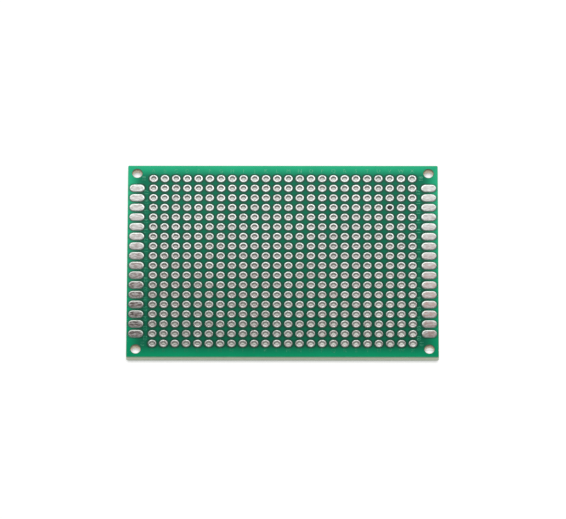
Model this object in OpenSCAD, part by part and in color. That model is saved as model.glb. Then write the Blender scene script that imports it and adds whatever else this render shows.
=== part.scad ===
// Prototype board: a glass-epoxy panel drilled with a square grid of holes. Every hole is plated
// through and tinned, with a ring pad on both faces. A column of oval edge pads runs down each
// short side, and four plain holes in the corners take the fixing screws.
//
// Millimetres, +Z up, +X along the long side. The origin is the middle of the board, level with
// the faces of the lower pads, which the board rests on.

/* [Board] */
// Length of the board along X
board_l = 70; // [68:1:90]
// Width of the board along Y
board_w = 50; // [47:1:80]
// Thickness of the bare glass-epoxy laminate
laminate_t = 1.54; // [0.8:0.01:2.4]
// Radius of the board's corners
corner_r = 0.3; // [0.1:0.1:1]
// Thickness of each coat of solder mask
mask_t = 0.03; // [0.02:0.01:0.05]
// Gap between a pad and the edge of its opening in the mask
mask_gap = 0.06; // [0.02:0.01:0.1]

/* [Plated holes] */
// Columns of plated holes along X
columns = 24; // [12:1:24]
// Rows of plated holes along Y
rows = 18; // [10:1:18]
// Distance from one hole to the next, both ways
pitch = 2.54; // [2.3:0.01:2.6]
// Finished diameter of a plated hole
hole_d = 1.0; // [0.7:0.05:1.2]
// Thickness of the plating on the wall of a hole
barrel_wall = 0.05; // [0.03:0.01:0.08]
// Outer diameter of the ring pad around a hole
ring_d = 1.9; // [1.5:0.05:2.1]

/* [Pads] */
// Thickness of the copper at the border of a pad
copper_t = 0.05; // [0.03:0.01:0.08]
// Rise of the solder coat above the copper at its highest
solder_t = 0.05; // [0.02:0.01:0.1]
// Length of an edge pad along X
edge_pad_l = 3.4; // [2.4:0.1:3.6]
// Width of an edge pad along Y
edge_pad_w = 1.96; // [1.2:0.02:2.2]
// Distance from the board's short side to the middle of its edge pads
edge_pad_inset = 2.06; // [1.96:0.02:2.4]
// Width of the sloping rim of solder around the flat of an edge pad
edge_pad_rim = 0.25; // [0.1:0.05:0.5]
// Rows left without an edge pad at each end of a column of edge pads
end_rows_bare = 1; // [1:1:3]

/* [Corner holes] */
// Diameter of a corner hole
corner_hole_d = 2.3; // [1.6:0.1:3]
// Distance from the board's short side to a corner hole's centre
corner_hole_inset_x = 2.1; // [2:0.1:3]
// Distance from the board's long side to a corner hole's centre
corner_hole_inset_y = 2.0; // [1.9:0.1:2.4]

/* [Nick] */
// Distance from the board's front side to the nick in its right side
nick_from_front = 1.8; // [1:0.1:20]
// Depth of the nick
nick_depth = 0.15; // [0.05:0.05:0.2]
// Radius of the nick's curve
nick_r = 0.3; // [0.2:0.1:1]

/* [Hidden] */
$fn = 48;

// Heights of the layers, from the lower pads' faces up
pad_t = copper_t + solder_t;
laminate_z0 = pad_t;
laminate_z1 = laminate_z0 + laminate_t;

// Plated holes
hole_r = hole_d / 2;
drill_r = hole_r + barrel_wall;
ring_r = ring_d / 2;
ring_w = ring_r - hole_r;
// Radius of the solder dome that stands solder_t high over a ring's width
dome_r = (pow(ring_w / 2, 2) + pow(solder_t, 2)) / (2 * solder_t);

// Edge pads
pad_half_w = edge_pad_w / 2;
pad_straight = edge_pad_l - edge_pad_w;
pad_flat_half_w = pad_half_w - edge_pad_rim;
// Radius of the curve that drops solder_t over the width of the rim
rim_r = (pow(edge_pad_rim, 2) + pow(solder_t, 2)) / (2 * solder_t);
edge_pad_x = board_l / 2 - edge_pad_inset;

corner_hole_x = board_l / 2 - corner_hole_inset_x;
corner_hole_y = board_w / 2 - corner_hole_inset_y;

green = [0.05, 0.45, 0.32];
tan_resin = [0.72, 0.66, 0.48];
tin = [0.82, 0.83, 0.82];

// Place of a column or a row of the grid, counted from 1 at the left and at the front
function column_x(column) = (column - (columns + 1) / 2) * pitch;
function row_y(row) = (row - (rows + 1) / 2) * pitch;
function row_node(row) = str("plated_holes_row_", row < 10 ? "0" : "", row);

// ---------------------------------------------------------------- patterns

// Children at every plated hole of one row
module along_row(row) {
    for (column = [1 : columns])
        translate([column_x(column), row_y(row), 0]) children();
}

// Children at every edge pad of one side, -1 for the left and 1 for the right
module along_side(side) {
    for (row = [1 + end_rows_bare : rows - end_rows_bare])
        translate([side * edge_pad_x, row_y(row), 0]) children();
}

module at_corner_holes() {
    for (x = [-1, 1], y = [-1, 1])
        translate([x * corner_hole_x, y * corner_hole_y, 0]) children();
}

// ---------------------------------------------------------------- flat outlines

// The board's outline, with the nick where it was snapped out of its panel
module board_outline() {
    difference() {
        union() {
            square([board_l - 2 * corner_r, board_w], center = true);
            square([board_l, board_w - 2 * corner_r], center = true);
            for (x = [-1, 1], y = [-1, 1])
                translate([x * (board_l / 2 - corner_r), y * (board_w / 2 - corner_r)])
                    circle(corner_r);
        }
        translate([board_l / 2 + nick_r - nick_depth, nick_from_front - board_w / 2])
            circle(nick_r);
    }
}

// An oval with round ends, grown by a margin all round
module oval(margin) {
    square([pad_straight, edge_pad_w + 2 * margin], center = true);
    for (end = [-1, 1])
        translate([end * pad_straight / 2, 0]) circle(pad_half_w + margin);
}

// ---------------------------------------------------------------- board and coats

// Laminate: pressed glass cloth and epoxy, drilled for the barrels and the corner holes
module substrate() {
    color(tan_resin)
        translate([0, 0, laminate_z0])
            linear_extrude(laminate_t)
                difference() {
                    board_outline();
                    for (row = [1 : rows]) along_row(row) circle(drill_r);
                    at_corner_holes() circle(corner_hole_d / 2);
                }
}

// One coat of solder mask, open around every pad and every corner hole
module solder_mask() {
    color(green)
        linear_extrude(mask_t)
            difference() {
                board_outline();
                for (row = [1 : rows]) along_row(row) circle(ring_r + mask_gap);
                for (side = [-1, 1]) along_side(side) oval(mask_gap);
                at_corner_holes() circle(corner_hole_d / 2 + mask_gap);
            }
}

module top_solder_mask() {
    translate([0, 0, laminate_z1]) solder_mask();
}

module underside_solder_mask() {
    translate([0, 0, laminate_z0 - mask_t]) solder_mask();
}

// ---------------------------------------------------------------- plated holes

// Half section of a ring pad: copper with a low dome of solder, standing on z = 0
module ring_section() {
    intersection() {
        translate([hole_r, 0]) square([ring_w, pad_t]);
        translate([hole_r + ring_w / 2, pad_t - dome_r]) circle(dome_r);
    }
}

// One plated hole: the two ring pads and the barrel that joins them are one piece of metal
module plated_hole() {
    rotate_extrude() {
        translate([0, laminate_z1]) ring_section();
        translate([hole_r, laminate_z0]) square([barrel_wall, laminate_t]);
        translate([0, laminate_z0]) mirror([0, 1]) ring_section();
    }
}

module plated_holes_row(row) {
    color(tin) along_row(row) plated_hole();
}

// ---------------------------------------------------------------- edge pads

// Half section across an edge pad: flat in the middle, curved down to the copper at the border
module edge_pad_section() {
    intersection() {
        square([pad_half_w, pad_t]);
        union() {
            square([pad_flat_half_w, pad_t]);
            translate([pad_flat_half_w, pad_t - rim_r]) circle(rim_r);
        }
    }
}

// One edge pad, standing on z = 0: a straight stretch between two half-round ends
module edge_pad() {
    rotate([90, 0, 90])
        linear_extrude(pad_straight, center = true) {
            edge_pad_section();
            mirror([1, 0]) edge_pad_section();
        }
    for (end = [-1, 1])
        translate([end * pad_straight / 2, 0, 0])
            rotate([0, 0, -90 * end])
                rotate_extrude(angle = 180) edge_pad_section();
}

module edge_pads_top(side) {
    color(tin) along_side(side) translate([0, 0, laminate_z1]) edge_pad();
}

module edge_pads_bottom(side) {
    color(tin) along_side(side) translate([0, 0, laminate_z0]) mirror([0, 0, 1]) edge_pad();
}

substrate();
top_solder_mask();
underside_solder_mask();
for (row = [1 : rows])
    plated_holes_row(row);
edge_pads_top(-1);  // edge_pads_left_top
edge_pads_top(1);  // edge_pads_right_top
edge_pads_bottom(-1);  // edge_pads_left_bottom
edge_pads_bottom(1);  // edge_pads_right_bottom
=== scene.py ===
import math
import bmesh
import bpy
from mathutils import Matrix, Vector


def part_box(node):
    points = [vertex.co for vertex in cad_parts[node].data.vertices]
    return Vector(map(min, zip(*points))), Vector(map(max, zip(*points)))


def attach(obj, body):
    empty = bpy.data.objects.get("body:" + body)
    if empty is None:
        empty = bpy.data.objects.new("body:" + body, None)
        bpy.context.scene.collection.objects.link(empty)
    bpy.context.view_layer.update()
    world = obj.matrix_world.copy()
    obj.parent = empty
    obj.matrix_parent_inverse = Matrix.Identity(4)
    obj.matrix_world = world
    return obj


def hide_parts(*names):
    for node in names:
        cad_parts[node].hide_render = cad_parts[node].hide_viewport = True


# The looks of a 70 x 50 mm prototype board: a green glass-epoxy panel with a grid of tinned holes.
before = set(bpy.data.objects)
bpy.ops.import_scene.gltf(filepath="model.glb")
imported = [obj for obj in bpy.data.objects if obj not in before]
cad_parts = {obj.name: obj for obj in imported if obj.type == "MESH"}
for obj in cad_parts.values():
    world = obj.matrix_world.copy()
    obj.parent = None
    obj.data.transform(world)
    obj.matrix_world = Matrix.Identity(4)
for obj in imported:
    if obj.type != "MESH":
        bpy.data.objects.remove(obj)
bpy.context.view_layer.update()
mm = 0.001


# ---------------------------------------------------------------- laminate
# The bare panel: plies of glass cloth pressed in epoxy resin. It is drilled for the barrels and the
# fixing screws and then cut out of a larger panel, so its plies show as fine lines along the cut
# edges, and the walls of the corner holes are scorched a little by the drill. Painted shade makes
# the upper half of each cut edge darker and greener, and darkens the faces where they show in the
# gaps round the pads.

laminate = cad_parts["substrate"]
laminate_lo, laminate_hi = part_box("substrate")
half_l, half_w = laminate_hi.x, laminate_hi.y
laminate_t = laminate_hi.z - laminate_lo.z
laminate_middle = (laminate_lo.z + laminate_hi.z) / 2
ply_count = 8
ply_t = laminate_t / ply_count
ply_wave_l, ply_wave_h = 2.2 * mm, 0.35 * ply_t
ply_share = 0.22
fibre_w, fibre_relief = 0.05 * mm, 0.02 * mm
fibre_stretch = (5, 5, 1)
cut_reach, drilled_reach = 0.3 * mm, 0.6 * mm
scorch_depth = 0.75 * laminate_t
face_skin = 0.004 * mm
resin_dull, resin_gloss = 0.75, 0.5
edge_resin = (208, 212, 192)
edge_resin_dark = (178, 182, 158)
edge_resin_upper_shade = (92, 146, 112)
drilled_resin = (250, 242, 226)
drilled_resin_dark = (226, 212, 188)
scorched_resin = (124, 108, 78)
face_resin_shade = (52, 92, 74)


def linear(colour):
    """A colour given by its three 8-bit screen levels, as the linear values that a shader takes."""
    levels = [level / 255 for level in colour]
    return (*(c / 12.92 if c <= 0.04045 else ((c + 0.055) / 1.055) ** 2.4 for c in levels), 1.0)


def put(tree, socket, value):
    """Feeds a socket with another node's output or with a plain value."""
    if isinstance(value, bpy.types.NodeSocket):
        tree.links.new(value, socket)
    else:
        socket.default_value = value


def add(tree, kind, inputs=None, **settings):
    """One node with its settings and its inputs, which are given by name or by number."""
    made = tree.nodes.new(kind)
    for name, value in settings.items():
        setattr(made, name, value)
    for name, value in (inputs or {}).items():
        put(tree, made.inputs[name], value)
    return made


def maths(tree, operation, *values):
    """The result of a Math node on numbers or on other nodes' outputs."""
    made = add(tree, "ShaderNodeMath", dict(enumerate(values)), operation=operation)
    return made.outputs[0]


def plus(tree, total, *others):
    """The sum of two values or more."""
    for other in others:
        total = maths(tree, "ADD", total, other)
    return total


def minus(tree, first, second):
    """What is left of first once second is taken away."""
    return maths(tree, "SUBTRACT", first, second)


def times(tree, product, *others):
    """The product of two values or more."""
    for other in others:
        product = maths(tree, "MULTIPLY", product, other)
    return product


def ramp(tree, value, start, end, low=0.0, high=1.0):
    """low where value is at start, high where it is at end, and an even curve between them."""
    reach = {"Value": value, "From Min": start, "From Max": end, "To Min": low, "To Max": high}
    made = add(tree, "ShaderNodeMapRange", reach, interpolation_type="SMOOTHSTEP")
    return made.outputs["Result"]


def blend(tree, factor, first, second):
    """A colour that goes from first to second as factor goes from 0 to 1."""
    made = add(tree, "ShaderNodeMix", {0: factor, 6: first, 7: second}, data_type="RGBA")
    return made.outputs[2]


def noise(tree, place, size, detail=2.0, stretch=(1, 1, 1)):
    """Noise from 0 to 1 in lumps about size across, longer along an axis where stretch is over 1."""
    scale = [1 / (size * s) for s in stretch]
    mapped = add(tree, "ShaderNodeMapping", {"Vector": place, "Scale": scale})
    made = add(tree, "ShaderNodeTexNoise", {"Vector": mapped.outputs[0], "Scale": 1.0, "Detail": detail})
    return made.outputs["Fac"]


def new_finish(name, plain):
    """A material with these plain values, its tree, its shader and the piece's own coordinates."""
    made = bpy.data.materials.new(name)
    made.use_nodes = True
    tree = made.node_tree
    shader = tree.nodes["Principled BSDF"]
    for label, value in plain.items():
        shader.inputs[label].default_value = value
    place = add(tree, "ShaderNodeTexCoord").outputs["Object"]
    return made, tree, shader, place


def split(tree, place):
    """The X, Y and Z of a place."""
    return add(tree, "ShaderNodeSeparateXYZ", {0: place}).outputs


def roughen(tree, shader, height, distance):
    """Gives a shader a bump of this height, of which 1 is distance high."""
    bump = add(tree, "ShaderNodeBump", {"Height": height, "Distance": distance})
    put(tree, shader.inputs["Normal"], bump.outputs["Normal"])


def border_distance(tree, x, y):
    """How far a point lies from the board's nearest side."""
    from_end = minus(tree, half_l, maths(tree, "ABSOLUTE", x))
    from_side = minus(tree, half_w, maths(tree, "ABSOLUTE", y))
    return maths(tree, "MINIMUM", from_end, from_side)


def make_glass_epoxy():
    """Resin that shows its plies where it is cut, is scorched in the mouths of the drilled holes, and
    has painted shade on the upper half of its cut edges and on its faces.
    """
    finish, tree, shader, place = new_finish("glass_epoxy", {"IOR": 1.55, "Specular IOR Level": 0.3})
    x, y, z = split(tree, place)
    wave = noise(tree, place, ply_wave_l, detail=1.0)
    depth = plus(tree, z, times(tree, wave, ply_wave_h))
    plies = maths(tree, "SINE", times(tree, depth, math.tau / ply_t))
    fibres = noise(tree, place, fibre_w, detail=3.0, stretch=fibre_stretch)
    streak = plus(tree, times(tree, plies, ply_share), fibres)
    shade = ramp(tree, streak, 0.25, 0.75)
    edge = blend(tree, shade, linear(edge_resin_dark), linear(edge_resin))
    # Painted shade: the upper half of the cut edge is darker and greener, where less of the table's
    # light reaches it.
    upper = ramp(tree, z, laminate_middle, laminate_hi.z)
    edge = blend(tree, upper, edge, linear(edge_resin_upper_shade))
    drilled = blend(tree, shade, linear(drilled_resin_dark), linear(drilled_resin))
    mouth = ramp(tree, z, laminate_hi.z - scorch_depth, laminate_hi.z)
    drilled = blend(tree, mouth, drilled, linear(scorched_resin))
    inland = ramp(tree, border_distance(tree, x, y), cut_reach, drilled_reach)
    wall = blend(tree, inland, edge, drilled)
    # Painted shade: the faces, which show only in the gaps round the pads, are given a deep green.
    from_middle = maths(tree, "ABSOLUTE", minus(tree, z, laminate_middle))
    on_face = maths(tree, "GREATER_THAN", from_middle, laminate_t / 2 - face_skin)
    put(tree, shader.inputs["Base Color"], blend(tree, on_face, wall, linear(face_resin_shade)))
    put(tree, shader.inputs["Roughness"], ramp(tree, fibres, 0.2, 0.8, resin_dull, resin_gloss))
    roughen(tree, shader, streak, fibre_relief)
    return finish


def dress(node, finish):
    """Gives a frame node its finish, in every one of its material slots."""
    for slot in node.material_slots:
        slot.material = finish


dress(laminate, make_glass_epoxy())


# ---------------------------------------------------------------- solder mask
# A coat of green lacquer on each face, printed as ink, exposed through a film and cured, with an
# opening around every pad. The cloth's weave shows faintly through it. A painted glow makes it
# lighter along the board's sides, where light gets into the laminate behind it, and painted shade
# makes it darker round each pad and towards the near side.

hole_row_lo, hole_row_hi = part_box("plated_holes_row_01")
columns, rows = 24, 18
ring_d = hole_row_hi.y - hole_row_lo.y
pitch = (hole_row_hi.x - hole_row_lo.x - ring_d) / (columns - 1)
pad_lo, pad_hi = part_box("edge_pads_right_top")
edge_pad_x = (pad_lo.x + pad_hi.x) / 2
edge_pad_l = pad_hi.x - pad_lo.x
edge_pad_rows = rows - 2
edge_pad_w = pad_hi.y - pad_lo.y - (edge_pad_rows - 1) * pitch
mask_gap = 0.06 * mm
slope_shade_w = 0.6 * mm
side_glow_w = 3.4 * mm
cloth_pitch = 0.55 * mm
cloud_size = 9 * mm
peel_size, peel_relief = 0.3 * mm, 0.012 * mm
slope_shade_share, slope_shade_lost_at_side = 0.85, 0.6
plain_tone, cloud_tone, peel_tone, weave_tone = 0.77, 0.30, 0.16, 0.035
weave_relief_share = 0.3
mask_gloss, mask_dull = 0.34, 0.5
mask_green = (22, 114, 84)
mask_green_near_shade = (15, 96, 69)
mask_side_glow = (44, 178, 130)
mask_side_glow_near = (8, 139, 95)
mask_slope_shade = (46, 74, 62)
mask_slope_near_shade = (22, 58, 46)


def from_pitch_line(tree, value):
    """How far a coordinate lies from the nearest line of holes, all half a pitch off the middle."""
    part = maths(tree, "FRACT", maths(tree, "DIVIDE", value, pitch))
    return times(tree, minus(tree, part, 0.5), pitch)


def hypotenuse(tree, a, b):
    """The length of a slant that goes a across and b along."""
    return maths(tree, "SQRT", plus(tree, times(tree, a, a), times(tree, b, b)))


def within(tree, value, limit):
    """1 where a value is nearer to 0 than limit, and 0 elsewhere."""
    return maths(tree, "LESS_THAN", maths(tree, "ABSOLUTE", value), limit)


def hole_distance(tree, x, y):
    """How far a point lies from the centre of the nearest hole of the grid."""
    return hypotenuse(tree, from_pitch_line(tree, x), from_pitch_line(tree, y))


def edge_pad_distance(tree, x, y):
    """How far a point lies from the middle line of the nearest edge pad."""
    off = maths(tree, "ABSOLUTE", minus(tree, maths(tree, "ABSOLUTE", x), edge_pad_x))
    along = maths(tree, "MAXIMUM", minus(tree, off, (edge_pad_l - edge_pad_w) / 2), 0.0)
    return hypotenuse(tree, along, from_pitch_line(tree, y))


def make_solder_mask():
    """Green lacquer with a painted glow along the sides and painted shade round the pads and towards the
    near side, marked by the weave.
    """
    finish, tree, shader, place = new_finish("solder_mask", {"IOR": 1.5, "Specular IOR Level": 0.03})
    x, y = split(tree, place)[:2]
    # Painted shade: the green darkens from the far side to the near side.
    near = ramp(tree, y, half_w, -half_w)
    green = blend(tree, near, linear(mask_green), linear(mask_green_near_shade))
    # Painted glow: the coat is lighter along the board's sides, where light gets into the laminate
    # behind it.
    side = ramp(tree, border_distance(tree, x, y), side_glow_w, 0.0)
    green = blend(tree, side, green, blend(tree, near, linear(mask_side_glow), linear(mask_side_glow_near)))

    # Painted shade: a darker band round each ring and each edge pad, darker still towards the near side
    # and weaker where the side glow is painted.
    opening = ring_d / 2 + mask_gap
    by_hole = ramp(tree, hole_distance(tree, x, y), opening + slope_shade_w, opening)
    in_grid = times(tree, within(tree, x, columns / 2 * pitch), within(tree, y, rows / 2 * pitch))
    opening = edge_pad_w / 2 + mask_gap
    by_pad = ramp(tree, edge_pad_distance(tree, x, y), opening + slope_shade_w, opening)
    by_pad = times(tree, by_pad, maths(tree, "MULTIPLY_ADD", side, -slope_shade_lost_at_side, 1.0))
    in_column = within(tree, y, edge_pad_rows / 2 * pitch)
    slope_shade = maths(tree, "MAXIMUM", times(tree, by_hole, in_grid), times(tree, by_pad, in_column))
    dark = blend(tree, near, linear(mask_slope_shade), linear(mask_slope_near_shade))
    green = blend(tree, times(tree, slope_shade, slope_shade_share), green, dark)

    weft = maths(tree, "SINE", times(tree, x, math.tau / cloth_pitch))
    warp = maths(tree, "SINE", times(tree, y, math.tau / cloth_pitch))
    weave = times(tree, weft, warp)
    clouds = noise(tree, place, cloud_size, detail=3.0)
    peel = noise(tree, place, peel_size, detail=3.0)
    tone = plus(tree, times(tree, clouds, cloud_tone), times(tree, peel, peel_tone), plain_tone)
    tone = plus(tree, times(tree, weave, weave_tone), tone)
    value = add(tree, "ShaderNodeHueSaturation", {"Value": tone, "Color": green})
    put(tree, shader.inputs["Base Color"], value.outputs[0])
    put(tree, shader.inputs["Roughness"], ramp(tree, peel, 0.2, 0.8, mask_gloss, mask_dull))
    roughen(tree, shader, plus(tree, times(tree, weave, weave_relief_share), peel), peel_relief)
    return finish


solder_mask = make_solder_mask()
for coat_name in ("top_solder_mask", "underside_solder_mask"):
    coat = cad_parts[coat_name]
    dress(coat, solder_mask)


# ---------------------------------------------------------------- plated holes
# Copper plated through each drilled hole, spread into a ring on both faces and dipped in molten
# tin-lead, which hot air blows back to a thin, uneven dome on the rings. Painted shade darkens the
# sides and the outer edge of each ring, most on its near side, the mouth of each barrel, reaching
# furthest onto the ring at the mouth's far side, and the foot of the barrels outside the far rows.
# Towards the near left the tin is darkened by tarnish and painted shade, and turned pink by
# tarnish and painted reflection.

hole_r = 0.5 * mm
barrel_wall = 0.05 * mm
copper_t = 0.025 * mm
solder_crest = hole_row_hi.z - laminate_hi.z
crest_r = 0.78 * mm
hole_lip = 0.078 * mm
mouth_w, throat = 0.08 * mm, 0.05 * mm
hole_lump_size, hole_lump_h = 0.8 * mm, 0.068 * mm
hole_sides = 12
hole_seed = 7
crease_angle = math.radians(55)
seam_w = 0.001 * mm

bright_tin = (248, 252, 249)
dull_tin = (198, 202, 198)
dull_spot_size, dull_from, dull_to = 0.35 * mm, 0.47, 0.79
hole_tone_share = 0.12
grain_size, grain_share, grain_relief = 0.08 * mm, 0.25, 0.018 * mm
tin_gloss, tin_dull = 0.2, 0.4
grey_tarnish_and_shade = (134, 131, 126)
pink_tarnish_and_reflection = (224, 190, 182)
tarnish_shade_patch_size, tarnish_shade_patch_share = 6 * mm, 0.5
tarnish_shade_leftwards, tarnish_shade_nearwards = 0.35, 0.75
tarnish_shade_from, tarnish_shade_to = -0.1, 0.75
hole_tarnish_shade_least, hole_tarnish_shade_most, tarnish_shade_mottle = 0.16, 0.8, 0.5
blush_far, blush_near = 12 * mm, -16 * mm
side_shade_tin = (176, 176, 170)
side_shade_from, side_shade_to, side_shade_edge = 0.45 * mm, 0.65 * mm, 0.8 * mm
left_shade_far, left_shade_more, right_shade_near = 0.4, 0.55, 0.6
ring_border_shade = (150, 164, 156)
ring_border_near_shade = (98, 110, 102)
border_r = 0.86 * mm
border_far, border_near = 0.2 * mm, -0.7 * mm
mouth_shade_w = mouth_w + 0.02 * mm
mouth_shade_near, mouth_shade_far = -0.4 * mm, 0.1 * mm
inside_from, inside_to = hole_r + 0.02 * mm, hole_r - 0.01 * mm
barrel_tin = (232, 233, 228)
barrel_tin_near = (236, 238, 232)
barrel_foot_shade = (172, 167, 160)
barrel_foot_hi, barrel_foot_lo = 0.6 * mm, 0.1 * mm
barrel_far, barrel_near = 20 * mm, 4 * mm
barrel_mouth_shade = (152, 147, 143)
mouth_depth, mouth_depth_near = 1.1 * mm, 0.6 * mm
mouth_turn = 10 * mm


def new_tree(name, inputs):
    """An empty tree that makes a mesh, and the outputs of its named inputs."""
    tree = bpy.data.node_groups.new(name, "GeometryNodeTree")
    tree.interface.new_socket("Mesh", in_out="OUTPUT", socket_type="NodeSocketGeometry")
    for label, kind in inputs.items():
        tree.interface.new_socket(label, in_out="INPUT", socket_type="NodeSocket" + kind)
    return tree, add(tree, "NodeGroupInput").outputs


def pick(tree, index, values):
    """The number of values whose place in the list is index."""
    made = add(tree, "GeometryNodeIndexSwitch", data_type="FLOAT")
    while len(made.index_switch_items) < len(values):
        made.index_switch_items.new()
    put(tree, made.inputs[0], index)
    for number, value in enumerate(values):
        put(tree, made.inputs[1 + number], value)
    return made.outputs[0]


def count_off(tree, length):
    """Counts a sheet's points off in runs of this length: the run of each, and its place in the run."""
    index = add(tree, "GeometryNodeInputIndex").outputs[0]
    run = maths(tree, "FLOOR", maths(tree, "DIVIDE", plus(tree, index, 0.5), length))
    return run, minus(tree, index, times(tree, run, length))


def lattice(tree, around, across):
    """A sheet of around by across faces, and the step and the level of each of its points."""
    sheet = add(tree, "GeometryNodeMeshGrid", {"Vertices X": around + 1, "Vertices Y": across + 1})
    return sheet.outputs["Mesh"], *count_off(tree, across + 1)


def close_up(tree, sheet, position):
    """Bends a sheet to its position, joins its seams, and shades it smooth but for its sharp edges."""
    bent = add(tree, "GeometryNodeSetPosition", {"Geometry": sheet, "Position": position})
    joined = add(tree, "GeometryNodeMergeByDistance", {"Geometry": bent.outputs[0], "Distance": seam_w})
    smooth = add(tree, "GeometryNodeSetShadeSmooth", {
        "Geometry": joined.outputs[0], "Selection": True, "Shade Smooth": True})
    turn = add(tree, "GeometryNodeInputMeshEdgeAngle").outputs["Unsigned Angle"]
    creased = add(tree, "GeometryNodeSetShadeSmooth", {
        "Geometry": smooth.outputs[0], "Selection": maths(tree, "GREATER_THAN", turn, crease_angle),
        "Shade Smooth": False}, domain="EDGE")
    return creased.outputs[0]


def polar(tree, radius, angle, height):
    """The point at this radius, angle and height."""
    x = times(tree, radius, maths(tree, "COSINE", angle))
    y = times(tree, radius, maths(tree, "SINE", angle))
    return add(tree, "ShaderNodeCombineXYZ", {"X": x, "Y": y, "Z": height}).outputs[0]


def hand_out(tree, mesh, lumpy, offset, finish):
    """Ends a tree: shifts the lumpy points of its mesh by offset and gives it its finish."""
    uneven = add(tree, "GeometryNodeSetPosition", {
        "Geometry": mesh, "Selection": lumpy, "Offset": offset})
    done = add(tree, "GeometryNodeSetMaterial", {"Geometry": uneven.outputs[0], "Material": finish})
    add(tree, "NodeGroupOutput", {0: done.outputs[0]})


def hole_grid_tree():
    """Bends a sheet into one plated hole, a ring, barrel and ring, and repeats it over the grid."""
    tree, given = new_tree("hole_grid", {
        "Columns": "Int", "Rows": "Int", "Pitch": "Float", "Hole Radius": "Float",
        "Barrel Wall": "Float", "Ring Radius": "Float", "Crest Radius": "Float", "Foot": "Float",
        "Top": "Float", "Copper": "Float", "Crest": "Float", "Lip": "Float", "Mouth": "Float",
        "Throat": "Float", "Unevenness": "Float", "Seed": "Int", "Finish": "Material"})
    drill = plus(tree, given["Hole Radius"], given["Barrel Wall"])
    mouth = plus(tree, given["Hole Radius"], given["Mouth"])
    dome = [(given["Ring Radius"], given["Copper"]), (given["Crest Radius"], given["Crest"]),
            (mouth, given["Lip"]), (given["Hole Radius"], times(tree, given["Throat"], -1.0))]
    section = [(given["Ring Radius"], given["Top"])]
    section += [(radius, plus(tree, given["Top"], rise)) for radius, rise in dome]
    section += [(radius, minus(tree, given["Foot"], rise)) for radius, rise in reversed(dome)]
    section += [(given["Ring Radius"], given["Foot"]), (drill, given["Foot"]), (drill, given["Top"])]
    sheet, step, level = lattice(tree, hole_sides, len(section))
    corner = maths(tree, "MODULO", level, float(len(section)))
    radius = pick(tree, corner, [point[0] for point in section])
    height = pick(tree, corner, [point[1] for point in section])
    angle = times(tree, step, math.tau / hole_sides)
    hole = close_up(tree, sheet, polar(tree, radius, angle, height))

    length, width = [times(tree, given["Pitch"], minus(tree, given[count], 1.0))
                     for count in ("Columns", "Rows")]
    centres = add(tree, "GeometryNodeMeshGrid", {
        "Size X": length, "Size Y": width, "Vertices X": given["Columns"], "Vertices Y": given["Rows"]})
    turn = add(tree, "FunctionNodeRandomValue", {1: (0.0, 0.0, math.tau), "Seed": given["Seed"]},
               data_type="FLOAT_VECTOR")
    placed = add(tree, "GeometryNodeInstanceOnPoints", {
        "Points": centres.outputs["Mesh"], "Instance": hole, "Rotation": turn.outputs[0]})
    tone = add(tree, "FunctionNodeRandomValue", {"Seed": plus(tree, given["Seed"], 1.0)},
               data_type="FLOAT")
    toned = add(tree, "GeometryNodeStoreNamedAttribute", {
        "Geometry": placed.outputs[0], "Name": "hole_tone", "Value": tone.outputs[1]},
        data_type="FLOAT", domain="INSTANCE")
    real = add(tree, "GeometryNodeRealizeInstances", {"Geometry": toned.outputs[0]})

    z = split(tree, add(tree, "GeometryNodeInputPosition").outputs[0])[2]
    half = times(tree, minus(tree, given["Top"], given["Foot"]), 0.5)
    off = minus(tree, z, plus(tree, given["Foot"], half))
    dome_foot = plus(tree, half, times(tree, given["Lip"], 0.5))
    on_dome = maths(tree, "GREATER_THAN", maths(tree, "ABSOLUTE", off), dome_foot)
    lumps = add(tree, "ShaderNodeTexNoise", {"Scale": 1 / hole_lump_size, "Detail": 1.0})
    lump = split(tree, lumps.outputs["Color"])
    sway_x, sway_y = [times(tree, minus(tree, lump[axis], 0.5), given["Unevenness"])
                      for axis in (0, 1)]
    inwards = times(tree, maths(tree, "SIGN", off), -1.0)
    sink = times(tree, lump[2], given["Unevenness"], inwards)
    offset = add(tree, "ShaderNodeCombineXYZ", {"X": sway_x, "Y": sway_y, "Z": sink}).outputs[0]
    hand_out(tree, real.outputs[0], on_dome, offset, given["Finish"])
    return tree


def grow(name, tree, values):
    """Runs a tree on a new piece with these values for its inputs, and keeps the result as its mesh."""
    piece = bpy.data.objects.new(name, bpy.data.meshes.new(name))
    bpy.context.scene.collection.objects.link(piece)
    modifier = piece.modifiers.new(tree.name, "NODES")
    modifier.node_group = tree
    for entry in tree.interface.items_tree:
        if entry.in_out == "INPUT":
            modifier[entry.identifier] = values[entry.name]
    evaluated = piece.evaluated_get(bpy.context.evaluated_depsgraph_get())
    piece.data = bpy.data.meshes.new_from_object(evaluated)
    piece.modifiers.remove(modifier)
    return piece


def tarnished_and_shaded(tree, place, tin, mottle, grey, least, most):
    """Tin that is clean at the far side, turns pink towards the near side and grey at the near left,
    partly by tarnish and partly by painted reflection and shade.
    """
    # Partly tarnish and partly painted light: the grey towards the near left and the pink towards the
    # near side stand in for the dimmer, tinted reflection there.
    x, y = split(tree, place)[:2]
    leftwards = times(tree, x, -tarnish_shade_leftwards / half_l)
    nearwards = times(tree, y, -tarnish_shade_nearwards / half_w)
    patches = noise(tree, place, tarnish_shade_patch_size, detail=3.0)
    patch = times(tree, minus(tree, patches, 0.5), tarnish_shade_patch_share)
    corner = ramp(tree, plus(tree, leftwards, nearwards, patch), tarnish_shade_from, tarnish_shade_to)
    blush = times(tree, ramp(tree, y, blush_far, blush_near), mottle)
    tin = blend(tree, blush, tin, linear(pink_tarnish_and_reflection))
    tarnish_and_shade = times(tree, corner, ramp(tree, mottle, 0.0, 1.0, least, most))
    return blend(tree, tarnish_and_shade, tin, linear(grey))


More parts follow.
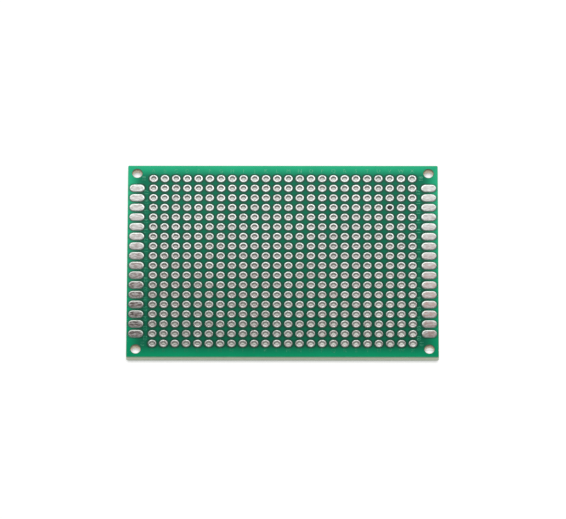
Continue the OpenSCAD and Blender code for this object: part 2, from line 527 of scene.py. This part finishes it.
def make_hole_tin():
    """Mottled solder with painted shade on the sides and the outer edge of each ring, and painted shade
    in the mouth and at the foot of its barrel.
    """
    finish, tree, shader, place = new_finish("tinned_holes", {"Metallic": 1.0})
    x, y, z = split(tree, place)
    tone = add(tree, "ShaderNodeAttribute", attribute_name="hole_tone").outputs["Fac"]
    spots = noise(tree, place, dull_spot_size, detail=3.0)
    grain = noise(tree, place, grain_size, detail=2.0)
    mottle = ramp(tree, plus(tree, spots, times(tree, tone, hole_tone_share)), dull_from, dull_to)
    tin = blend(tree, mottle, linear(bright_tin), linear(dull_tin))
    mottle = times(tree, mottle, tarnish_shade_mottle)
    tin = tarnished_and_shaded(tree, place, tin, mottle, grey_tarnish_and_shade, hole_tarnish_shade_least, hole_tarnish_shade_most)

    from_axis = hole_distance(tree, x, y)
    # Painted shade: each ring is darker on its left side, more towards the near side, and on its right
    # side towards the near side.
    across, along = from_pitch_line(tree, x), from_pitch_line(tree, y)
    near = ramp(tree, y, half_w, -half_w)
    left_share = maths(tree, "MULTIPLY_ADD", near, left_shade_more, left_shade_far)
    left_shade = times(tree, ramp(tree, across, -side_shade_from, -side_shade_to), left_share)
    right_share = times(tree, near, right_shade_near)
    right_shade = times(tree, ramp(tree, across, side_shade_from, side_shade_to), right_share)
    on_ring = ramp(tree, from_axis, ring_d / 2, side_shade_edge)
    side_shade = times(tree, plus(tree, left_shade, right_shade), on_ring)
    tin = blend(tree, side_shade, tin, linear(side_shade_tin))
    # Painted shade: the outer edge of each ring is darker, most on its near side.
    nearward = ramp(tree, along, border_far, border_near)
    border = blend(tree, nearward, linear(ring_border_shade), linear(ring_border_near_shade))
    tin = blend(tree, ramp(tree, from_axis, border_r, ring_d / 2), tin, border)

    # Painted shade: the barrel's darker mouth colour reaches onto the inner edge of the ring, furthest
    # at its far side, and down the top of the wall, deeper in the far rows.
    mouth_shade_reach = times(tree, ramp(tree, along, mouth_shade_near, mouth_shade_far), mouth_shade_w)
    inside = ramp(tree, minus(tree, from_axis, mouth_shade_reach), inside_from, inside_to)
    # Painted shade: the foot of the barrel is darker outside the far rows.
    foot = ramp(tree, z, laminate_lo.z + barrel_foot_hi, laminate_lo.z + barrel_foot_lo)
    barrel = blend(tree, foot, linear(barrel_tin_near), linear(barrel_foot_shade))
    barrel = blend(tree, ramp(tree, y, barrel_far, barrel_near), linear(barrel_tin), barrel)
    depth = ramp(tree, y, mouth_turn, -mouth_turn, mouth_depth, mouth_depth_near)
    mouth = ramp(tree, z, hole_row_hi.z, minus(tree, hole_row_hi.z, depth))
    barrel = blend(tree, mouth, linear(barrel_mouth_shade), barrel)
    put(tree, shader.inputs["Base Color"], blend(tree, inside, tin, barrel))
    put(tree, shader.inputs["Roughness"], ramp(tree, spots, 0.3, 0.8, tin_gloss, tin_dull))
    roughen(tree, shader, plus(tree, spots, times(tree, grain, grain_share)), grain_relief)
    return finish


plated_holes = grow("tinned_hole_grid", hole_grid_tree(), {
    "Columns": columns, "Rows": rows, "Pitch": pitch, "Hole Radius": hole_r,
    "Barrel Wall": barrel_wall, "Ring Radius": ring_d / 2, "Crest Radius": crest_r,
    "Foot": laminate_lo.z, "Top": laminate_hi.z, "Copper": copper_t, "Crest": solder_crest,
    "Lip": hole_lip, "Mouth": mouth_w, "Throat": throat, "Unevenness": hole_lump_h,
    "Seed": hole_seed, "Finish": make_hole_tin()})
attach(plated_holes, "root")
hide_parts(*(f"plated_holes_row_{row:02d}" for row in range(1, rows + 1)))


# ---------------------------------------------------------------- edge pads
# A column of oval copper pads beside each short side, on both faces, tinned with the rings. The
# solder slopes down over a pad's rim, where it stays clean, and lies streaky over the flat middle,
# which tarnish and painted shade darken most towards the near left. Painted shade also darkens
# the outer edge of each pad.

pad_rim = 0.25 * mm
pad_lump_size, pad_lump_h = 0.7 * mm, 0.02 * mm
arc_steps, straight_steps = 8, 4
shoulder_inset, shoulder_rise, flat_inset, above_copper = 0.4, 0.7, 1.25, 1.1
pad_rim_tin = (234, 244, 238)
pad_flat_tin = (228, 229, 227)
pad_flat_dull = (209, 203, 199)
pad_tarnish_and_shade = (106, 98, 95)
rim_wander_size, rim_wander_w = 0.6 * mm, 0.25 * mm
rim_from, rim_to = 0.16 * mm, 0.36 * mm
pad_border_w = 0.1 * mm
streak_w, streak_stretch, streak_share = 0.22 * mm, (4, 1, 1), 0.65
blotch_w, blotch_stretch, blotch_share = 0.6 * mm, (1.6, 1, 1), 0.35
mottle_from, mottle_to = 0.4, 0.6
streak_relief = 0.006 * mm
middle_tarnish_shade_least, middle_tarnish_shade_most = 0.42, 1.0
rim_tarnish_shade_least, rim_tarnish_shade_most, rim_mottle = 0.35, 0.7, 0.1
rim_gloss, middle_dulls_from, middle_dulls_to = 0.24, 0.1, 0.25


def edge_pad_tree():
    """Bends a sheet into one oval pad, ring by ring from its foot to its middle line, and repeats it."""
    tree, given = new_tree("edge_pad_column", {
        "Rows": "Int", "Pitch": "Float", "Length": "Float", "Width": "Float", "Copper": "Float",
        "Crest": "Float", "Rim": "Float", "Unevenness": "Float", "Seed": "Int", "Finish": "Material"})
    radius = times(tree, given["Width"], 0.5)
    reach = times(tree, minus(tree, given["Length"], given["Width"]), 0.5)
    rise = minus(tree, given["Crest"], given["Copper"])
    shoulder = plus(tree, given["Copper"], times(tree, rise, shoulder_rise))
    middle = times(tree, plus(tree, radius, given["Rim"]), 0.5)
    section = [
        (radius, 0.0), (0.0, 0.0), (0.0, given["Copper"]),
        (times(tree, given["Rim"], shoulder_inset), shoulder), (given["Rim"], given["Crest"]),
        (times(tree, given["Rim"], flat_inset), given["Crest"]),
        (middle, given["Crest"]), (radius, given["Crest"])]
    half_round = arc_steps + straight_steps
    sheet, step, level = lattice(tree, 2 * half_round, len(section) - 1)
    inset = pick(tree, level, [point[0] for point in section])
    height = pick(tree, level, [point[1] for point in section])
    step = maths(tree, "MODULO", step, 2.0 * half_round)
    end = maths(tree, "FLOOR", maths(tree, "DIVIDE", plus(tree, step, 0.5), half_round))
    along = minus(tree, step, times(tree, end, half_round))
    swept = times(tree, maths(tree, "MINIMUM", along, arc_steps), math.pi / arc_steps)
    angle = plus(tree, minus(tree, swept, math.pi / 2), times(tree, end, math.pi))
    gone = maths(tree, "MAXIMUM", minus(tree, along, arc_steps), 0.0)
    run = minus(tree, 1.0, times(tree, gone, 2 / straight_steps))
    side = minus(tree, 1.0, times(tree, end, 2.0))
    centre_x = times(tree, run, side, reach)
    spoke = polar(tree, minus(tree, radius, inset), angle, height)
    centre = add(tree, "ShaderNodeCombineXYZ", {"X": centre_x}).outputs[0]
    position = add(tree, "ShaderNodeVectorMath", {0: spoke, 1: centre}, operation="ADD").outputs[0]
    pad = close_up(tree, sheet, position)

    length = times(tree, given["Pitch"], minus(tree, given["Rows"], 1.0))
    start = add(tree, "ShaderNodeCombineXYZ", {"Y": times(tree, length, -0.5)}).outputs[0]
    stride = add(tree, "ShaderNodeCombineXYZ", {"Y": given["Pitch"]}).outputs[0]
    centres = add(tree, "GeometryNodeMeshLine", {
        "Count": given["Rows"], "Start Location": start, "Offset": stride})
    placed = add(tree, "GeometryNodeInstanceOnPoints", {"Points": centres.outputs[0], "Instance": pad})
    real = add(tree, "GeometryNodeRealizeInstances", {"Geometry": placed.outputs[0]})

    z = split(tree, add(tree, "GeometryNodeInputPosition").outputs[0])[2]
    on_top = maths(tree, "GREATER_THAN", z, times(tree, given["Copper"], above_copper))
    lumps = add(tree, "ShaderNodeTexNoise", {
        "W": given["Seed"], "Scale": 1 / pad_lump_size, "Detail": 2.0}, noise_dimensions="4D")
    sink = times(tree, lumps.outputs["Fac"], given["Unevenness"], -1.0)
    offset = add(tree, "ShaderNodeCombineXYZ", {"Z": sink}).outputs[0]
    hand_out(tree, real.outputs[0], on_top, offset, given["Finish"])
    return tree


def make_edge_pad_tin():
    """Clean solder on the rim of each pad with painted shade along its outer edge, and streaky solder
    over its middle, darkened by tarnish and painted shade.
    """
    finish, tree, shader, place = new_finish("tinned_edge_pads", {"Metallic": 1.0})
    x, y = split(tree, place)[:2]
    from_rim = minus(tree, edge_pad_w / 2, edge_pad_distance(tree, x, y))
    wander = times(tree, minus(tree, noise(tree, place, rim_wander_size), 0.5), rim_wander_w)
    flat = ramp(tree, plus(tree, from_rim, wander), rim_from, rim_to)
    streaks = noise(tree, place, streak_w, detail=3.0, stretch=streak_stretch)
    blotches = noise(tree, place, blotch_w, detail=3.0, stretch=blotch_stretch)
    mottle = plus(tree, times(tree, streaks, streak_share), times(tree, blotches, blotch_share))
    mottle = ramp(tree, mottle, mottle_from, mottle_to)
    middle = blend(tree, mottle, linear(pad_flat_tin), linear(pad_flat_dull))
    middle = tarnished_and_shaded(tree, place, middle, mottle, pad_tarnish_and_shade,
                       middle_tarnish_shade_least, middle_tarnish_shade_most)
    rim = tarnished_and_shaded(tree, place, linear(pad_rim_tin), rim_mottle, grey_tarnish_and_shade,
                    rim_tarnish_shade_least, rim_tarnish_shade_most)
    # Painted shade: a darker band along the outer edge of each pad.
    rim = blend(tree, ramp(tree, from_rim, pad_border_w, 0.0), rim, linear(ring_border_shade))
    put(tree, shader.inputs["Base Color"], blend(tree, flat, rim, middle))
    rough = times(tree, flat, ramp(tree, mottle, 0.0, 1.0, middle_dulls_from, middle_dulls_to))
    put(tree, shader.inputs["Roughness"], plus(tree, rough, rim_gloss))
    roughen(tree, shader, mottle, streak_relief)
    return finish


edge_pads = edge_pad_tree()
edge_pad_tin = make_edge_pad_tin()
turned_over = Matrix.Rotation(math.pi, 4, "X")
for pad_side, way in (("left", -1), ("right", 1)):
    for face in ("top", "bottom"):
        column = grow(f"tinned_edge_pads_{pad_side}_{face}", edge_pads, {
            "Rows": edge_pad_rows, "Pitch": pitch, "Length": edge_pad_l, "Width": edge_pad_w,
            "Copper": copper_t, "Crest": solder_crest, "Rim": pad_rim, "Unevenness": pad_lump_h,
            "Seed": way + 2, "Finish": edge_pad_tin})
        foot = laminate_hi.z if face == "top" else laminate_lo.z
        if face == "bottom":
            column.data.transform(turned_over)
        column.data.transform(Matrix.Translation((way * edge_pad_x, 0, foot)))
        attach(column, "root")
        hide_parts(f"edge_pads_{pad_side}_{face}")


# ---------------------------------------------------------------- index letters and numbers
# Thin pale ink, screened on the upper coat: a letter over each column of holes along both long
# sides, and a two-figure number beside each row at both ends. It has worn faint towards the near
# side.

ink_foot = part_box("top_solder_mask")[1].z
ink_t = 0.01 * mm
letter_h, figure_h = 0.95 * mm, 0.9 * mm
capital_share, letter_gap, letter_curve_steps = 0.73, 1.12, 2
letter_y_far, letter_y_near = 23.6 * mm, -23.4 * mm
figure_x_left, figure_x_right = -30.75 * mm, 30.6 * mm
figure_drop = 1.1 * mm
corner_figure_shift = 0.6 * mm
letters = "ABCDEFGHIJKLMNOPQRSTUVWX"
ink_pale = (112, 196, 160)
ink_worn = (32, 112, 86)
ink_worn_far, ink_worn_near_shade = (42, 156, 114), (14, 120, 82)
worn_far, worn_near, worn_left, worn_letters = 0.25, 0.6, 0.25, 0.25
scuff_size, scuff_from, scuff_to = 0.4 * mm, 0.3, 0.75
scuff_least, scuff_most = -0.1, 0.5
ink_grain, ink_gloss, ink_dull = 0.1 * mm, 0.45, 0.7
ink_pit, ink_relief = 0.06 * mm, 0.004 * mm


def add_label(letter_mesh, text, height, where):
    """Adds a line of plain letters to a mesh, centred on where, as a thin raised film."""
    curve = bpy.data.curves.new("label", "FONT")
    curve.body = text
    curve.align_x, curve.align_y = "CENTER", "CENTER"
    curve.size = height / capital_share
    curve.space_character = letter_gap
    curve.resolution_u = letter_curve_steps
    curve.extrude = ink_t / 2
    label = bpy.data.objects.new("label", curve)
    flat = bpy.data.meshes.new_from_object(label)
    flat.transform(where)
    letter_mesh.from_mesh(flat)
    bpy.data.objects.remove(label)
    bpy.data.curves.remove(curve)
    bpy.data.meshes.remove(flat)


def make_legend_ink():
    """Pale ink that has worn down to the green under it, most at the near left and in the letters."""
    finish, tree, shader, place = new_finish("legend_ink", {"Specular IOR Level": 0.2})
    x, y = split(tree, place)[:2]
    in_letters = maths(tree, "GREATER_THAN", maths(tree, "ABSOLUTE", y), letter_y_far - letter_h)
    # Painted shade: where the ink is worn, the green under it darkens towards the near side, as on the
    # coat.
    near = ramp(tree, y, half_w, -half_w)
    under = blend(tree, near, linear(ink_worn_far), linear(ink_worn_near_shade))
    under = blend(tree, in_letters, linear(ink_worn), under)
    nearwards = ramp(tree, y, half_w, -half_w, worn_far, worn_near)
    leftwards = ramp(tree, x, 0.0, -half_l, 0.0, worn_left)
    scuffs = noise(tree, place, scuff_size, detail=3.0)
    scuffs = ramp(tree, scuffs, scuff_from, scuff_to, scuff_least, scuff_most)
    worn = plus(tree, nearwards, leftwards, scuffs, times(tree, in_letters, worn_letters))
    put(tree, shader.inputs["Base Color"], blend(tree, worn, linear(ink_pale), under))
    grain = noise(tree, place, ink_grain)
    put(tree, shader.inputs["Roughness"], ramp(tree, grain, 0.2, 0.8, ink_gloss, ink_dull))
    roughen(tree, shader, noise(tree, place, ink_pit), ink_relief)
    return finish


def place_at(x, y, turn=0.0):
    """The middle of a label at x and y on the upper coat, turned by this angle."""
    return Matrix.Translation((x, y, ink_foot + ink_t / 2)) @ Matrix.Rotation(turn, 4, "Z")


label_mesh = bmesh.new()
for column, letter in enumerate(letters):
    column_x = (column - (columns - 1) / 2) * pitch
    for letter_y in (letter_y_far, letter_y_near):
        add_label(label_mesh, letter, letter_h, place_at(column_x, letter_y))
for row in range(rows):
    row_y = (row - (rows - 1) / 2) * pitch
    corner_row = row in (0, rows - 1)
    drop = 0.0 if corner_row else figure_drop
    shift = corner_figure_shift if corner_row else 0.0
    for figure_x in (figure_x_left - shift, figure_x_right + shift):
        add_label(label_mesh, f"{row + 1:02d}", figure_h, place_at(figure_x, row_y - drop, math.pi / 2))
legend_mesh = bpy.data.meshes.new("index_legend")
label_mesh.to_mesh(legend_mesh)
label_mesh.free()
legend_mesh.materials.append(make_legend_ink())
legend = bpy.data.objects.new("index_legend", legend_mesh)
bpy.context.scene.collection.objects.link(legend)
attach(legend, "root")


# ---------------------------------------------------------------- flux residue
# One hole near the far right corner is choked with burnt flux, left from the dip: a crust on the
# wall of the barrel with a narrow way through its middle, black at its mouth and pale grey below,
# partly ash and partly a painted sheen.

choked_column, choked_row = 22, 15
crust_wall = 0.01 * mm
crust_section = (
    (0.0, 1.60), (0.10, 1.64), (0.22, 1.52), (0.32, 1.30), (0.34, 1.0), (0.30, 0.8), (0.0, 0.7))
crust_sides, crust_lumps, crust_lump_h = 16, 3, 0.04
flux_char, flux_brown, flux_ash_and_sheen = (10, 9, 8), (46, 36, 26), (150, 147, 141)
crumb_size, crumb_relief = 0.08 * mm, 0.03 * mm
char_gloss, char_dull = 0.35, 0.7
char_depth, ash_and_sheen_depth = 0.06 * mm, 0.25 * mm


def make_crust():
    """Turns the crust's section, in mm, about the hole's axis, with a lump or a dent at every corner."""
    mesh = bmesh.new()
    rings = []
    for depth, (inset, height) in enumerate(crust_section):
        ring = []
        for side in range(crust_sides):
            angle = math.tau * side / crust_sides
            lump = crust_lump_h * math.sin(crust_lumps * angle + depth) if 0 < inset else 0.0
            radius = hole_r - crust_wall - (inset + lump) * mm
            corner = (radius * math.cos(angle), radius * math.sin(angle), height * mm)
            ring.append(mesh.verts.new(corner))
        rings.append(ring)
    for upper, lower in zip(rings, rings[1:] + rings[:1]):
        for side in range(crust_sides):
            after = (side + 1) % crust_sides
            mesh.faces.new((upper[side], upper[after], lower[after], lower[side]))
    bmesh.ops.recalc_face_normals(mesh, faces=mesh.faces)
    for face in mesh.faces:
        face.smooth = True
    made = bpy.data.meshes.new("flux_crust")
    mesh.to_mesh(made)
    mesh.free()
    return made


def make_burnt_flux():
    """Crumbly char that turns pale grey a little way down the hole, partly ash and partly a painted
    sheen.
    """
    finish, tree, shader, place = new_finish("burnt_flux", {"IOR": 1.5, "Specular IOR Level": 0.3})
    crumbs = noise(tree, place, crumb_size, detail=3.0)
    char = blend(tree, ramp(tree, crumbs, 0.4, 0.7), linear(flux_char), linear(flux_brown))
    z = split(tree, place)[2]
    # Partly ash and partly a painted sheen: the crust turns pale grey a little way down the hole.
    depth = ramp(tree, z, laminate_hi.z - char_depth, laminate_hi.z - ash_and_sheen_depth)
    put(tree, shader.inputs["Base Color"], blend(tree, depth, char, linear(flux_ash_and_sheen)))
    put(tree, shader.inputs["Roughness"], ramp(tree, crumbs, 0.3, 0.7, char_gloss, char_dull))
    roughen(tree, shader, crumbs, crumb_relief)
    return finish


crust = bpy.data.objects.new("flux_crust", make_crust())
bpy.context.scene.collection.objects.link(crust)
crust_x = (choked_column - (columns + 1) / 2) * pitch
crust_y = (choked_row - (rows + 1) / 2) * pitch
crust.data.transform(Matrix.Translation((crust_x, crust_y, 0)))
crust.data.materials.append(make_burnt_flux())
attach(crust, "root")


# ---------------------------------------------------------------- table, light and camera
# The board lies on white glass lit softly from below, which is dimmer under the board's near left.
# A soft lamp stands high behind its far side, a broad card there shows only as gloss, and the pale
# room is the fill. The camera stands well back and looks down at a steep slant.

table_half, table_drop = 1.5, 0.01 * mm
table_white = (142, 142, 142)
table_glow = 0.76
contact_reach, contact_slant = 0.85 * mm, (0.0, 1.0, 0.3)
contact_dark = (96, 104, 90)
under_dark = (209, 209, 207)
under_half_w = (rows + 0.2) / 2 * pitch - ring_d / 2
under_margin = 0.6 * mm
under_far, under_near = 12 * mm, -2 * mm
under_right, under_left = 22 * mm, -2 * mm
pure_white = (255, 255, 255)
fill_level, sun_level = 0.5, 0.52
overhead_loss, overhead_from, overhead_to = 0.3, 0.1, 0.9
card_distance = 150 * mm
card_half_l, card_low, card_high = 400 * mm, -90 * mm, 170 * mm
card_bright, card_dim = 1.62, 0.26
card_even, card_fall = 40 * mm, 88 * mm
card_focus_drop, card_squeeze = 60 * mm, (0.62, 1, 1)


def add_sheet(name, half_length, low, high, where, facing):
    """A flat sheet at where, facing this way, to half_length each side and from low to high up it."""
    mesh = bpy.data.meshes.new(name)
    corners = [(-half_length, low, 0), (half_length, low, 0),
               (half_length, high, 0), (-half_length, high, 0)]
    mesh.from_pydata(corners, [], [(0, 1, 2, 3)])
    made = bpy.data.objects.new(name, mesh)
    bpy.context.scene.collection.objects.link(made)
    mesh.transform(Vector(facing).to_track_quat("Z", "Y").to_matrix().to_4x4())
    mesh.transform(Matrix.Translation(where))
    return made


def make_lit_finish(name, shade):
    """A material made of the shader that shade builds in its tree."""
    finish = bpy.data.materials.new(name)
    finish.use_nodes = True
    finish.node_tree.nodes.clear()
    add(finish.node_tree, "ShaderNodeOutputMaterial", {"Surface": shade(finish.node_tree)})
    return finish


def shade_table(tree):
    """White glass lit softly from below, on which the board still casts its shadow."""
    glass = add(tree, "ShaderNodeBsdfDiffuse", {"Color": linear(table_white)})
    place = add(tree, "ShaderNodeTexCoord").outputs["Object"]
    x, y = split(tree, place)[:2]
    # Painted shadow: the glow is darkened where the board is close, beside its long sides and under its
    # margins, and dimmed by painted shade under the near left of the grid.
    under_grid = within(tree, y, under_half_w)
    between_ends = ramp(tree, maths(tree, "ABSOLUTE", x), half_l, half_l - under_margin)
    open_share = add(tree, "ShaderNodeAmbientOcclusion", {
        "Distance": contact_reach, "Normal": contact_slant}, samples=8).outputs["AO"]
    shade = times(tree, minus(tree, 1.0, under_grid), minus(tree, 1.0, open_share), between_ends)
    gloom = times(tree, between_ends, under_grid, ramp(tree, y, under_far, under_near))
    near_right = times(tree, minus(tree, x, y), 0.5)
    gloom = times(tree, gloom, ramp(tree, near_right, under_right, under_left))
    lit = blend(tree, gloom, linear(pure_white), linear(under_dark))
    glow = add(tree, "ShaderNodeEmission", {
        "Color": blend(tree, shade, lit, linear(contact_dark)), "Strength": table_glow})
    return add(tree, "ShaderNodeAddShader", {0: glass.outputs[0], 1: glow.outputs[0]}).outputs[0]


def shade_card(tree):
    """A soft panel that is brightest round the middle of its low side."""
    place = add(tree, "ShaderNodeTexCoord").outputs["Object"]
    narrowed = add(tree, "ShaderNodeVectorMath", {0: place, 1: card_squeeze}, operation="MULTIPLY")
    away = add(tree, "ShaderNodeVectorMath", {0: narrowed.outputs[0], 1: card_focus},
               operation="DISTANCE")
    level = add(tree, "ShaderNodeMapRange", {
        "Value": away.outputs["Value"], "From Min": card_even, "From Max": card_fall,
        "To Min": card_bright, "To Max": card_dim})
    return add(tree, "ShaderNodeEmission", {"Strength": level.outputs[0]}).outputs[0]


table = add_sheet("table", table_half, -table_half, table_half, (0, 0, -table_drop), (0, 0, 1))
table.data.materials.append(make_lit_finish("lit_table", shade_table))

world = bpy.data.worlds.new("room")
bpy.context.scene.world = world
world.use_nodes = True
room = world.node_tree
room.nodes.clear()
path = add(room, "ShaderNodeLightPath").outputs
mirrored = maths(room, "MAXIMUM", path["Is Glossy Ray"], path["Is Transmission Ray"])
seen = maths(room, "MAXIMUM", path["Is Camera Ray"], mirrored)
rise = split(room, add(room, "ShaderNodeTexCoord").outputs["Generated"])[2]
overhead = times(room, path["Is Glossy Ray"], ramp(room, rise, overhead_from, overhead_to))
backdrop_level = minus(room, 1.0, times(room, overhead, overhead_loss))
backdrop = add(room, "ShaderNodeBackground", {"Color": linear(pure_white), "Strength": backdrop_level})
fill = add(room, "ShaderNodeBackground", {"Color": linear(pure_white), "Strength": fill_level})
mixed = add(room, "ShaderNodeMixShader", {0: seen, 1: fill.outputs[0], 2: backdrop.outputs[0]})
add(room, "ShaderNodeOutputWorld", {"Surface": mixed.outputs[0]})

camera_azimuth, camera_elevation = math.radians(0.325), math.radians(59.17)
camera_roll = math.radians(-0.232)
camera_distance = 2.3648
camera_target = Vector((0.065 * mm, 0.35 * mm, laminate_hi.z))
back = Vector((math.sin(camera_azimuth) * math.cos(camera_elevation),
               -math.cos(camera_azimuth) * math.cos(camera_elevation), math.sin(camera_elevation)))
lens = bpy.data.cameras.new("camera")
lens.lens = 668.6
lens.clip_start, lens.clip_end = 0.1, 10.0
camera = bpy.data.objects.new("camera", lens)
bpy.context.scene.collection.objects.link(camera)
camera.location = camera_target + back * camera_distance
right = Vector((math.cos(camera_azimuth), math.sin(camera_azimuth), 0))
up = back.cross(right)
level_x = right * math.cos(camera_roll) + up * math.sin(camera_roll)
level_y = up * math.cos(camera_roll) - right * math.sin(camera_roll)
camera.rotation_euler = Matrix((level_x, level_y, back)).transposed().to_euler()
bpy.context.scene.camera = camera
bpy.context.scene.view_settings.view_transform = "Standard"

card_way = Vector((-back.x, -back.y, back.z))
card_middle = card_way * card_distance
card_focus = card_middle - card_focus_drop * Vector((0, -card_way.z, card_way.y)).normalized()
card = add_sheet("soft_card", card_half_l, card_low, card_high, card_middle, -card_way)
card.data.materials.append(make_lit_finish("soft_panel", shade_card))
for kind in ("camera", "diffuse", "transmission", "volume_scatter", "shadow"):
    setattr(card, "visible_" + kind, False)

lamp_spread, lamp_height, lamp_swing = math.radians(24), math.radians(75), math.radians(-12)
sun = bpy.data.lights.new("soft_lamp", "SUN")
sun.angle = lamp_spread
sun.energy = math.pi * sun_level / math.sin(lamp_height)
lamp = bpy.data.objects.new("soft_lamp", sun)
bpy.context.scene.collection.objects.link(lamp)
lamp.rotation_euler = (lamp_height - math.pi / 2, 0, lamp_swing)
lamp.visible_glossy = False
